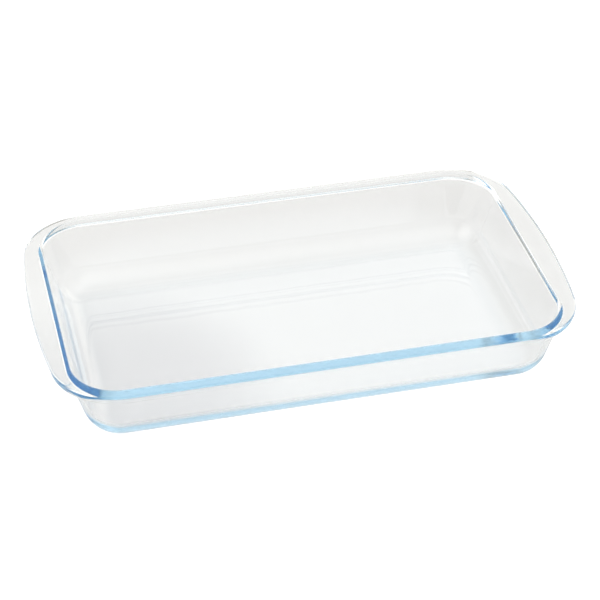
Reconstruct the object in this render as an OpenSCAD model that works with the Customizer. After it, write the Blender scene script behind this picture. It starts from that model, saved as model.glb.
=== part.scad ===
// Rectangular glass baking dish, pressed in one piece: a flared basin with rounded corners,
// a crowned rim and a flat bowed handle at each short end.
// Origin at the middle of the base, X along the dish, Z up, millimetres and degrees.

/* [Overall] */
// Length over the two handles
dish_l = 350; // [300:1:420]
// Width over the rim of the long sides
dish_w = 207; // [185:1:235]
// Height from the table to the top of the rim
dish_h = 50; // [42:0.5:58]

/* [Rim and handles] */
// Thickness of the rim and of the handles
rim_t = 6; // [5:0.1:8]
// How far the rounded top of the rim falls to its edge
rim_drop = 1.6; // [0.5:0.1:2.4]
// Width of the rounded part of the rim's top, from its edge inwards
rim_crown_w = 6; // [3:0.1:6.4]
// Width of the rounded part of the rim's underside, from its edge inwards
rim_under_w = 1.5; // [1:0.1:3.6]
// Width of the rim along the long sides, from the mouth's edge outwards
rim_w = 8; // [7.9:0.1:14]
// Reach of each handle at its middle, from the mouth's edge outwards
handle_w = 16.5; // [14:0.5:40]
// Radius of the bow of each handle's outer edge, seen from above
handle_bow_r = 490; // [300:5:700]
// Radius of the rim's four corners, seen from above
rim_corner_r = 43.5; // [38:0.5:48]
// Rounding of the mouth's edge
lip_r = 2; // [1:0.1:2.5]
// Rounding between the wall and the underside of the rim
neck_r = 1.5; // [0.5:0.1:1.6]

/* [Basin] */
// Radius of the mouth's four corners, seen from above
mouth_corner_r = 30; // [28:0.5:34]
// Lean of the walls away from upright, which lets the glass leave its mould
wall_lean = 16.5; // [6:0.5:20]
// Thickness of the walls
wall_t = 4; // [3:0.1:5]
// Thickness of the floor
floor_t = 5.5; // [3.5:0.1:8]
// Radius of the bend between the floor and the walls, inside
floor_bend_r = 19; // [10:0.5:21]
// Radius of the bend between the base and the walls, outside
base_bend_r = 22; // [12:0.5:25]

/* [Hidden] */

// Sides of a full circle, and flats along each bend of a section
$fn = 180;
BEND_STEPS = 12;
EDGE_STEPS = 9;

// Overrun of a cut past the surface that it opens
cut_over = 1;

// Centres of the mouth's corners
mouth_cx = dish_l / 2 - handle_w - mouth_corner_r;
mouth_cy = dish_w / 2 - rim_w - mouth_corner_r;

// The handle's outer edge is an arc about a point on the long axis, and the rim's corner arcs run
// into it without a kink, so their centres lie on the line between the two
bow_x = dish_l / 2 - handle_bow_r;
rim_cy = dish_w / 2 - rim_corner_r;
rim_cx = bow_x + sqrt(pow(handle_bow_r - rim_corner_r, 2) - pow(rim_cy, 2));
bow_half_turn = atan2(rim_cy, rim_cx - bow_x);

// Heights of the rim's underside, of its middle and of its edge
rim_under = dish_h - rim_t;
rim_mid = dish_h - rim_t / 2;
rim_edge = dish_h - rim_drop;

// How far the inner wall stands from the corner centre at a height, and the level thickness of a wall
function inner_reach(z) = mouth_corner_r - (dish_h - z) * tan(wall_lean);
wall_level_t = wall_t / cos(wall_lean);

// Centres of the bends, each as [reach, height]: inside the floor, outside the base, the edge of
// the mouth, and the hollow under the rim
floor_bend_z = floor_t + floor_bend_r;
floor_bend = [inner_reach(floor_bend_z) - floor_bend_r / cos(wall_lean), floor_bend_z];
base_bend = [inner_reach(base_bend_r) + wall_level_t - base_bend_r / cos(wall_lean), base_bend_r];
lip_z = dish_h - lip_r;
lip = [inner_reach(lip_z) + lip_r / cos(wall_lean), lip_z];
neck_z = rim_under - neck_r;
neck = [inner_reach(neck_z) + wall_level_t + neck_r / cos(wall_lean), neck_z];

// Points of an oval arc about a centre, from one angle to another, and those of a round one
function oval(centre, width, rise, from, to, steps) =
    [for (k = [0:steps]) let (a = from + (to - from) * k / steps)
        centre + [width * cos(a), rise * sin(a)]];
function arc(centre, r, from, to, steps) = oval(centre, r, r, from, to, steps);

// Half section of the basin's outside, from its middle line out, filled up into the rim
module outside_section() {
    polygon(concat(
        [[0, 0]],
        arc(base_bend, base_bend_r, -90, -wall_lean, BEND_STEPS),
        arc(neck, neck_r, 180 - wall_lean, 90, BEND_STEPS),
        [[neck[0], rim_mid], [0, rim_mid]]
    ));
}

// Half section of the space for the food, from its middle line out, and past the rim's top
module inside_section() {
    polygon(concat(
        [[0, floor_t]],
        arc(floor_bend, floor_bend_r, -90, -wall_lean, BEND_STEPS),
        arc(lip, lip_r, 180 - wall_lean, 90, BEND_STEPS),
        [[lip[0], dish_h + cut_over], [0, dish_h + cut_over]]
    ));
}

// Half section of the rim from its corner centre, or from a start further out, to its edge: a tight
// oval arc comes up from the underside, and a long flat one falls from the top to meet it
module rim_section(reach, start = 0) {
    under = [reach - rim_under_w, rim_edge];
    crown = [reach - rim_crown_w, rim_edge];
    step = 90 / EDGE_STEPS;
    polygon(concat(
        [[start, rim_under]],
        oval(under, rim_under_w, rim_edge - rim_under, -90, 0, EDGE_STEPS),
        oval(crown, rim_crown_w, rim_drop, step, 90, EDGE_STEPS - 1),
        [[start, dish_h]]
    ));
}

// A section stood up in the XZ plane and drawn out evenly to both sides of it
module drawn(length) {
    rotate([90, 0, 0]) translate([0, 0, -length / 2]) linear_extrude(length) children();
}

// Copies at both ends of the dish, and on both long sides
module both_ends() {
    for (end = [0, 1]) mirror([end, 0, 0]) children();
}

module both_sides() {
    for (side = [0, 1]) mirror([0, side, 0]) children();
}

// A section carried once round a rectangle of corner centres, with the middle filled in between
// two heights
module carried_round(cx, cy, bottom, top) {
    both_ends() translate([cx, 0, 0]) drawn(2 * cy) children();
    both_sides() rotate([0, 0, 90]) translate([cy, 0, 0]) drawn(2 * cx) children();
    both_ends() both_sides() translate([cx, cy, 0]) rotate_extrude(angle = 90) children();
    translate([-cx, -cy, bottom]) cube([2 * cx, 2 * cy, top - bottom]);
}

// The rim and the handles as one flat slab with a crowned edge, not yet opened
module rim_slab() {
    both_sides() rotate([0, 0, 90]) drawn(2 * rim_cx) rim_section(dish_w / 2);
    both_ends() both_sides() translate([rim_cx, rim_cy, 0]) rotate([0, 0, bow_half_turn])
        rotate_extrude(angle = 90 - bow_half_turn) rim_section(rim_corner_r);
    both_ends() both_sides() translate([bow_x, 0, 0]) rotate_extrude(angle = bow_half_turn)
        rim_section(handle_bow_r, handle_bow_r - rim_corner_r);
}

module dish() {
    color([0.80, 0.88, 0.93, 0.5])
    difference() {
        union() {
            carried_round(mouth_cx, mouth_cy, 0, rim_mid) outside_section();
            rim_slab();
        }
        carried_round(mouth_cx, mouth_cy, floor_t, dish_h + cut_over) inside_section();
    }
}

dish();
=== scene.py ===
import math
import bpy
import numpy as np
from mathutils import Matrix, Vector


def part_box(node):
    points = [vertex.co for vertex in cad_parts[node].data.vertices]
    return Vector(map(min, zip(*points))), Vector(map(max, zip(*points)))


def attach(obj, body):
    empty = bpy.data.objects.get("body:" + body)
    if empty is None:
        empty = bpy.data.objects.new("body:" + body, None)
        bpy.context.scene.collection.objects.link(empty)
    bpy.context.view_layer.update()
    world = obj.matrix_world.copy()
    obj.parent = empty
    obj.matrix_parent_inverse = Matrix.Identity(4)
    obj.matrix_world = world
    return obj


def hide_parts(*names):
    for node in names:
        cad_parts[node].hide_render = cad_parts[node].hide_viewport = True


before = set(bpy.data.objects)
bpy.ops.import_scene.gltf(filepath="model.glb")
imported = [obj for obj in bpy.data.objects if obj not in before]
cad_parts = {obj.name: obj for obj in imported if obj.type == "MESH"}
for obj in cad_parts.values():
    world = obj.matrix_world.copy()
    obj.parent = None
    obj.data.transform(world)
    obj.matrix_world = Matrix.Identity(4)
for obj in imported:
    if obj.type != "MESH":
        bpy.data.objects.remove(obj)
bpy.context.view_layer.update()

# The camera
# A long lens looks down on the table from in front of the dish and a little to its left, close
# enough to fill the picture with it. Lengths are metres, and the picture is 600 pixels square.
PICTURE_PX = 600
FOCAL_PX = 2019.7
SENSOR_MM = 36
CAMERA_AT = Vector((-0.2507, -1.0609, 0.8096))
CAMERA_TURN = math.radians(13.46)
CAMERA_DROP = math.radians(35.62)
SIGHT_END = 50

camera_data = bpy.data.cameras.new("camera")
camera_data.sensor_width = SENSOR_MM
camera_data.lens = SENSOR_MM * FOCAL_PX / PICTURE_PX
camera_data.clip_end = SIGHT_END
camera = bpy.data.objects.new("camera", camera_data)
bpy.context.scene.collection.objects.link(camera)
camera.location = CAMERA_AT
look = Vector((
    math.sin(CAMERA_TURN) * math.cos(CAMERA_DROP),
    math.cos(CAMERA_TURN) * math.cos(CAMERA_DROP),
    -math.sin(CAMERA_DROP),
))
camera.rotation_euler = look.to_track_quat("-Z", "Y").to_euler()
bpy.context.scene.camera = camera

# The dish
# One pressing of clear heat-resistant glass: floor, flared walls, rim and both handles leave the
# mould together. The rim and the edges are fire-polished smooth, and the tint shows edge on.
low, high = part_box("dish")
LENGTH, WIDTH, HEIGHT = high - low
RIM_THICKNESS = 0.0060
RIM_WIDTH = 0.0080
RIM_CORNER_R = 0.0435
CROWN_WIDTH = 0.0060
CROWN_DROP = 0.0016
UNDER_WIDTH = 0.0015
HANDLE_REACH = 0.0165
HANDLE_BOW_R = 0.490
MOUTH_CORNER_R = 0.030
MOUTH_EDGE_R = 0.0020
NECK_R = 0.0015
WALL_LEAN = 16.5
WALL_THICKNESS = 0.0040
FLOOR_THICKNESS = 0.0055
FLOOR_BEND_R = 0.019
BASE_BEND_R = 0.022

# The glass itself: how it bends light, its tint, and the slow ripple and faint haze of its polish
GLASS_IOR = 1.474
TINT = (0.08, 0.57, 0.84, 1)
TINT_PER_M = 3.5
RIPPLE_PER_M = 45.0
RIPPLE_DETAIL = 1.0
RIPPLE_HEIGHT = 0.00004
HAZE_PER_M = 60.0
HAZE_DETAIL = 4.0
HAZE_MOST = 0.006

# Steps of the mesh round the outline and along each bend of the section
LONG_STEPS = 6
CORNER_STEPS = 40
END_STEPS = 14
WALL_STEPS = 4
FLOOR_BEND_STEPS = 16
MOUTH_EDGE_STEPS = 20
CROWN_STEPS = 24
UNDER_STEPS = 18
NECK_STEPS = 12
BASE_BEND_STEPS = 24
# A point this close to each end of a flat keeps its shading flat
HOLD = 0.0001

mouth_half_length = LENGTH / 2 - HANDLE_REACH
mouth_half_width = WIDTH / 2 - RIM_WIDTH
bow_x = LENGTH / 2 - HANDLE_BOW_R
rim_cy = WIDTH / 2 - RIM_CORNER_R
rim_cx = bow_x + math.sqrt((HANDLE_BOW_R - RIM_CORNER_R) ** 2 - rim_cy ** 2)
bow_half_turn = math.atan2(rim_cy, rim_cx - bow_x)
wall_slope = math.tan(math.radians(WALL_LEAN))
wall_cos = math.cos(math.radians(WALL_LEAN))
wall_sin = math.sin(math.radians(WALL_LEAN))
wall_level_thickness = WALL_THICKNESS / wall_cos


def held(start, end, steps):
    """Even steps with one more point close to each end."""
    span = end - start
    inner = np.linspace(start, end, steps + 1)
    nudge = math.copysign(min(HOLD, abs(span) / 4), span)
    return np.concatenate([[start, start + nudge], inner[1:-1], [end - nudge, end]])


def mirrored(long_side, corner, end):
    """A closed outline from the points of one quarter."""
    quarter = np.vstack([long_side, corner[1:], end[1:]])
    right_near = (quarter * [1, -1])[::-1]
    left_near = quarter * [-1, -1]
    left_far = (quarter * [-1, 1])[::-1]
    return np.vstack([quarter[:-1], right_near[:-1], left_near[:-1], left_far[:-1]])


def basin_loop(inset):
    """The mouth's outline drawn in by an inset."""
    half_length = mouth_half_length - inset
    half_width = mouth_half_width - inset
    r = MOUTH_CORNER_R - inset
    cx = half_length - r
    cy = half_width - r
    xs = held(0, cx, LONG_STEPS)
    ys = held(cy, 0, END_STEPS)
    turn = np.linspace(math.pi / 2, 0, CORNER_STEPS + 1)
    return mirrored(
        np.column_stack([xs, np.full(len(xs), half_width)]),
        np.column_stack([cx + r * np.cos(turn), cy + r * np.sin(turn)]),
        np.column_stack([np.full(len(ys), half_length), ys]),
    )


def rim_loop(inset):
    """The outline of the rim and the handles drawn in by an inset."""
    xs = held(0, rim_cx, LONG_STEPS)
    turn = np.linspace(math.pi / 2, bow_half_turn, CORNER_STEPS + 1)
    bow_turn = held(rim_cy, 0, END_STEPS) / rim_cy * bow_half_turn
    r = RIM_CORNER_R - inset
    bow_r = HANDLE_BOW_R - inset
    return mirrored(
        np.column_stack([xs, np.full(len(xs), WIDTH / 2 - inset)]),
        np.column_stack([rim_cx + r * np.cos(turn), rim_cy + r * np.sin(turn)]),
        np.column_stack([bow_x + bow_r * np.cos(bow_turn), bow_r * np.sin(bow_turn)]),
    )


def wall_inset(z):
    """How far the inner wall has drawn in at a height."""
    return (HEIGHT - z) * wall_slope


rings = []


def ring(outline, z):
    """One loop of points round the dish at a height."""
    rings.append(np.column_stack([outline, np.full(len(outline), z)]))


def bend(loop, inset, z, width, rise, start, end, steps):
    """Rings along an oval arc of the section: 0 degrees points outwards, 90 degrees up."""
    for a in np.radians(np.linspace(start, end, steps + 1)):
        ring(loop(inset - width * math.cos(a)), z + rise * math.sin(a))


def wall(inset, foot, head):
    """Rings up or down a wall that leans with the inner one."""
    for z in np.linspace(foot, head, WALL_STEPS + 1):
        ring(basin_loop(wall_inset(z) + inset), z)


# The inside, from the floor up: floor, floor bend, wall, and the mouth's rounded edge
floor_bend_z = FLOOR_THICKNESS + FLOOR_BEND_R
floor_bend = wall_inset(floor_bend_z) + FLOOR_BEND_R / wall_cos
mouth_edge_z = HEIGHT - MOUTH_EDGE_R
mouth_edge = wall_inset(mouth_edge_z) - MOUTH_EDGE_R / wall_cos
ring(basin_loop(floor_bend + HOLD), FLOOR_THICKNESS)
bend(basin_loop, floor_bend, floor_bend_z, FLOOR_BEND_R, FLOOR_BEND_R, -90, -WALL_LEAN, FLOOR_BEND_STEPS)
wall(0, rings[-1][0, 2] + HOLD, mouth_edge_z + MOUTH_EDGE_R * wall_sin - HOLD)
bend(basin_loop, mouth_edge, mouth_edge_z, MOUTH_EDGE_R, MOUTH_EDGE_R, 180 - WALL_LEAN, 90, MOUTH_EDGE_STEPS)
ring(basin_loop(mouth_edge - HOLD), HEIGHT)

# The rim: a flat oval arc falls from its top to its edge, and a tight one goes on to the underside
rim_edge_z = HEIGHT - CROWN_DROP
under_rise = RIM_THICKNESS - CROWN_DROP
under_step = 90 / UNDER_STEPS
ring(rim_loop(CROWN_WIDTH + HOLD), HEIGHT)
bend(rim_loop, CROWN_WIDTH, rim_edge_z, CROWN_WIDTH, CROWN_DROP, 90, 0, CROWN_STEPS)
bend(rim_loop, UNDER_WIDTH, rim_edge_z, UNDER_WIDTH, under_rise, -under_step, -90, UNDER_STEPS - 1)
ring(rim_loop(UNDER_WIDTH + HOLD), HEIGHT - RIM_THICKNESS)

# The outside, from the rim down: the hollow under the rim, wall, base bend, and the base
neck_z = HEIGHT - RIM_THICKNESS - NECK_R
neck = wall_inset(neck_z) - wall_level_thickness - NECK_R / wall_cos
base_bend = wall_inset(BASE_BEND_R) - wall_level_thickness + BASE_BEND_R / wall_cos
ring(basin_loop(neck - HOLD), HEIGHT - RIM_THICKNESS)
bend(basin_loop, neck, neck_z, NECK_R, NECK_R, 90, 180 - WALL_LEAN, NECK_STEPS)
wall(-wall_level_thickness, rings[-1][0, 2] - HOLD, BASE_BEND_R * (1 - wall_sin) + HOLD)
bend(basin_loop, base_bend, BASE_BEND_R, BASE_BEND_R, BASE_BEND_R, -WALL_LEAN, -90, BASE_BEND_STEPS)
ring(basin_loop(base_bend + HOLD), 0)

# Faces between each ring and the next, and one that closes the floor and one the base
count = len(rings[0])
last = (len(rings) - 1) * count
faces = [tuple(reversed(range(count)))]
for j in range(len(rings) - 1):
    for i in range(count):
        k = (i + 1) % count
        faces.append((j * count + i, j * count + k, (j + 1) * count + k, (j + 1) * count + i))
faces.append(tuple(last + i for i in range(count)))

dish_mesh = bpy.data.meshes.new("dish_glass")
dish_mesh.from_pydata(np.vstack(rings).tolist(), [], faces)
dish_mesh.update()
dish_mesh.shade_smooth()
dish = bpy.data.objects.new("dish_glass", dish_mesh)
bpy.context.scene.collection.objects.link(dish)


def added(tree, kind, **values):
    """A new node, with its inputs set by name (an underscore stands for a space)."""
    node = tree.nodes.new(kind)
    for name, value in values.items():
        node.inputs[name.replace("_", " ")].default_value = value
    return node


glass = bpy.data.materials.new("clear_pressed_glass")
glass.use_nodes = True
glass_tree = glass.node_tree
glass_shader = glass_tree.nodes["Principled BSDF"]
glass_shader.inputs["Base Color"].default_value = (1, 1, 1, 1)
glass_shader.inputs["IOR"].default_value = GLASS_IOR
glass_shader.inputs["Transmission Weight"].default_value = 1
tint = added(glass_tree, "ShaderNodeVolumeAbsorption", Color=TINT, Density=TINT_PER_M)
glass_tree.links.new(tint.outputs["Volume"], glass_tree.nodes["Material Output"].inputs["Volume"])
glass_place = added(glass_tree, "ShaderNodeTexCoord")
ripple = added(glass_tree, "ShaderNodeTexNoise", Scale=RIPPLE_PER_M, Detail=RIPPLE_DETAIL)
wave = added(glass_tree, "ShaderNodeBump", Distance=RIPPLE_HEIGHT)
glass_tree.links.new(glass_place.outputs["Object"], ripple.inputs["Vector"])
glass_tree.links.new(ripple.outputs["Fac"], wave.inputs["Height"])
glass_tree.links.new(wave.outputs["Normal"], glass_shader.inputs["Normal"])
haze = added(glass_tree, "ShaderNodeTexNoise", Scale=HAZE_PER_M, Detail=HAZE_DETAIL)
polish = added(glass_tree, "ShaderNodeMapRange", To_Max=HAZE_MOST)
glass_tree.links.new(glass_place.outputs["Object"], haze.inputs["Vector"])
glass_tree.links.new(haze.outputs["Fac"], polish.inputs["Value"])
glass_tree.links.new(polish.outputs["Result"], glass_shader.inputs["Roughness"])
dish_mesh.materials.append(glass)

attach(dish, "root")
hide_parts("dish")

# The table
# A wide sheet of matt white paper, with the faint unevenness of its fibres. Shade is painted into its
# colour: greyer round the dish than under it, and greyer still under its left end, where the dish's shadow
# falls. Seen straight it is lifted to white, as if lit from below.
TABLE_SIDE = 12.0
TABLE_GAP = 0.0002
PAPER_WHITE = (0.93, 0.942, 0.965, 1)
# Painted shadow of the dish on the paper under its left end
PAPER_SHADE = (0.797, 0.803, 0.835, 1)
# Painted shade round the dish: the paper is greyer round it than under it
PAPER_PAINTED_SHADE_ROUND = (0.862, 0.868, 0.885, 1)
PAPER_LIFT = 0.4
SHADE_AT = (-0.115, -0.035, 0)
SHADE_REACH = (0.105, 0.12)
ROUND_REACH = (0.145, 0.125)
ROUND_START = 0.6
ROUND_END = 2.4
FIBRES_PER_M = 400.0
FIBRE_HEIGHT = 0.00005

half = TABLE_SIDE / 2
table_corners = [(-half, -half), (half, -half), (half, half), (-half, half)]
table_mesh = bpy.data.meshes.new("table")
table_mesh.from_pydata([(x, y, -TABLE_GAP) for x, y in table_corners], [], [(0, 1, 2, 3)])
table = bpy.data.objects.new("table", table_mesh)
bpy.context.scene.collection.objects.link(table)

paper = bpy.data.materials.new("white_paper")
paper.use_nodes = True
paper_tree = paper.node_tree
paper_shader = paper_tree.nodes["Principled BSDF"]
paper_shader.inputs["Roughness"].default_value = 1
paper_shader.inputs["Specular IOR Level"].default_value = 0
paper_shader.inputs["Emission Color"].default_value = (1, 1, 1, 1)
paper_place = added(paper_tree, "ShaderNodeTexCoord")

# The painted shadow under the left end: the squared distance from its middle, in shares of its reach, fades
# the painted grey into white
away = added(paper_tree, "ShaderNodeVectorMath")
away.operation = "SUBTRACT"
away.inputs[1].default_value = SHADE_AT
share = added(paper_tree, "ShaderNodeVectorMath")
share.operation = "MULTIPLY"
share.inputs[1].default_value = (1 / SHADE_REACH[0], 1 / SHADE_REACH[1], 0)
squared = added(paper_tree, "ShaderNodeVectorMath")
squared.operation = "DOT_PRODUCT"
fall = added(paper_tree, "ShaderNodeMapRange")
fall.interpolation_type = "SMOOTHSTEP"
tone = added(paper_tree, "ShaderNodeMix")
tone.data_type = "RGBA"
tone.inputs["A"].default_value = PAPER_SHADE
tone.inputs["B"].default_value = PAPER_WHITE
paper_tree.links.new(paper_place.outputs["Object"], away.inputs[0])
paper_tree.links.new(away.outputs["Vector"], share.inputs[0])
paper_tree.links.new(share.outputs["Vector"], squared.inputs[0])
paper_tree.links.new(share.outputs["Vector"], squared.inputs[1])
paper_tree.links.new(squared.outputs["Value"], fall.inputs["Value"])
paper_tree.links.new(fall.outputs["Result"], tone.inputs["Factor"])

# Painted shade round the dish: the fourth power of the distance gives its long shape, and fades to the other
# painted grey
outwards = added(paper_tree, "ShaderNodeVectorMath")
outwards.operation = "MULTIPLY"
outwards.inputs[1].default_value = (1 / ROUND_REACH[0], 1 / ROUND_REACH[1], 0)
squares = added(paper_tree, "ShaderNodeVectorMath")
squares.operation = "MULTIPLY"
fourth_power = added(paper_tree, "ShaderNodeVectorMath")
fourth_power.operation = "DOT_PRODUCT"
rise = added(paper_tree, "ShaderNodeMapRange", From_Min=ROUND_START, From_Max=ROUND_END)
rise.interpolation_type = "SMOOTHSTEP"
whole_tone = added(paper_tree, "ShaderNodeMix")
whole_tone.data_type = "RGBA"
whole_tone.inputs["B"].default_value = PAPER_PAINTED_SHADE_ROUND
paper_tree.links.new(paper_place.outputs["Object"], outwards.inputs[0])
paper_tree.links.new(outwards.outputs["Vector"], squares.inputs[0])
paper_tree.links.new(outwards.outputs["Vector"], squares.inputs[1])
paper_tree.links.new(squares.outputs["Vector"], fourth_power.inputs[0])
paper_tree.links.new(squares.outputs["Vector"], fourth_power.inputs[1])
paper_tree.links.new(fourth_power.outputs["Value"], rise.inputs["Value"])
paper_tree.links.new(tone.outputs["Result"], whole_tone.inputs["A"])
paper_tree.links.new(rise.outputs["Result"], whole_tone.inputs["Factor"])
paper_tree.links.new(whole_tone.outputs["Result"], paper_shader.inputs["Base Color"])

fibre = added(paper_tree, "ShaderNodeTexNoise", Scale=FIBRES_PER_M)
grain = added(paper_tree, "ShaderNodeBump", Distance=FIBRE_HEIGHT)
paper_tree.links.new(paper_place.outputs["Object"], fibre.inputs["Vector"])
paper_tree.links.new(fibre.outputs["Fac"], grain.inputs["Height"])
paper_tree.links.new(grain.outputs["Normal"], paper_shader.inputs["Normal"])

paper_ray = added(paper_tree, "ShaderNodeLightPath")
lift = added(paper_tree, "ShaderNodeMath")
lift.operation = "MULTIPLY"
lift.inputs[1].default_value = PAPER_LIFT
paper_tree.links.new(paper_ray.outputs["Is Camera Ray"], lift.inputs[0])
paper_tree.links.new(lift.outputs["Value"], paper_shader.inputs["Emission Strength"])
table_mesh.materials.append(paper)

# The studio
# A dim room with soft round lights: one overhead, four round the dish and two low behind it. The
# glass gathers them in its bends, so they draw its edges. Seen straight, the room is a white backdrop.
ROOM_TONE = (0.362, 0.344, 0.306, 1)
BACKDROP_WHITE = (1.1, 1.1, 1.1, 1)
STUDIO_STRENGTH = 0.955
LIGHT_CORE = 10
LIGHT_REACH = 38
OVERHEAD_CORE = 25
OVERHEAD_REACH = 50

studio = bpy.data.worlds.new("studio")
bpy.context.scene.world = studio
studio.use_nodes = True
studio_tree = studio.node_tree
sky = studio_tree.nodes["Background"]
sky.inputs["Strength"].default_value = STUDIO_STRENGTH
sky_place = added(studio_tree, "ShaderNodeTexCoord")
room = added(studio_tree, "ShaderNodeRGB")
room.outputs["Color"].default_value = ROOM_TONE


def with_light(lit, turn, height, colour, core=LIGHT_CORE, reach=LIGHT_REACH):
    """The sky so far and one more round light, even to its core and fading out to its reach.

    All four are degrees. The turn is clockwise from straight behind the dish, seen from above.
    """
    turn = math.radians(turn)
    height = math.radians(height)
    towards = (
        math.sin(turn) * math.cos(height),
        math.cos(turn) * math.cos(height),
        math.sin(height),
    )
    facing = added(studio_tree, "ShaderNodeVectorMath")
    facing.operation = "DOT_PRODUCT"
    facing.inputs[1].default_value = towards
    fade = added(studio_tree, "ShaderNodeMapRange")
    fade.interpolation_type = "SMOOTHSTEP"
    fade.inputs["From Min"].default_value = math.cos(math.radians(reach))
    fade.inputs["From Max"].default_value = math.cos(math.radians(core))
    glow = added(studio_tree, "ShaderNodeVectorMath")
    glow.operation = "SCALE"
    glow.inputs[0].default_value = colour
    total = added(studio_tree, "ShaderNodeVectorMath")
    total.operation = "ADD"
    studio_tree.links.new(sky_place.outputs["Generated"], facing.inputs[0])
    studio_tree.links.new(facing.outputs["Value"], fade.inputs["Value"])
    studio_tree.links.new(fade.outputs["Result"], glow.inputs["Scale"])
    studio_tree.links.new(lit, total.inputs[0])
    studio_tree.links.new(glow.outputs["Vector"], total.inputs[1])
    return total.outputs["Vector"]


lit = room.outputs["Color"]
overhead = (0.38, 0.38, 0.38)
lit = with_light(lit, turn=0, height=90, colour=overhead, core=OVERHEAD_CORE, reach=OVERHEAD_REACH)
lit = with_light(lit, turn=270, height=34, colour=(1.62, 1.62, 1.62))
lit = with_light(lit, turn=0, height=45, colour=(0.8, 0.8, 0.79))
lit = with_light(lit, turn=90, height=45, colour=(0.37, 0.37, 0.37))
lit = with_light(lit, turn=180, height=45, colour=(0.68, 0.68, 0.68))
lit = with_light(lit, turn=45, height=8, colour=(1.4, 1.36, 1.28))
lit = with_light(lit, turn=0, height=8, colour=(0.4, 0.39, 0.36))

sky_ray = added(studio_tree, "ShaderNodeLightPath")
backdrop = added(studio_tree, "ShaderNodeMix")
backdrop.data_type = "RGBA"
backdrop.inputs["B"].default_value = BACKDROP_WHITE
studio_tree.links.new(sky_ray.outputs["Is Camera Ray"], backdrop.inputs["Factor"])
studio_tree.links.new(lit, backdrop.inputs["A"])
studio_tree.links.new(backdrop.outputs["Result"], sky.inputs["Color"])

# Thick glass carries light along its rim through very many inner reflections
DIFFUSE_BOUNCES = 8
GLASS_BOUNCES = 256
scene = bpy.context.scene
scene.view_settings.view_transform = "Standard"
scene.cycles.blur_glossy = 0
scene.cycles.diffuse_bounces = DIFFUSE_BOUNCES
scene.cycles.max_bounces = GLASS_BOUNCES
scene.cycles.transmission_bounces = GLASS_BOUNCES
scene.cycles.glossy_bounces = GLASS_BOUNCES
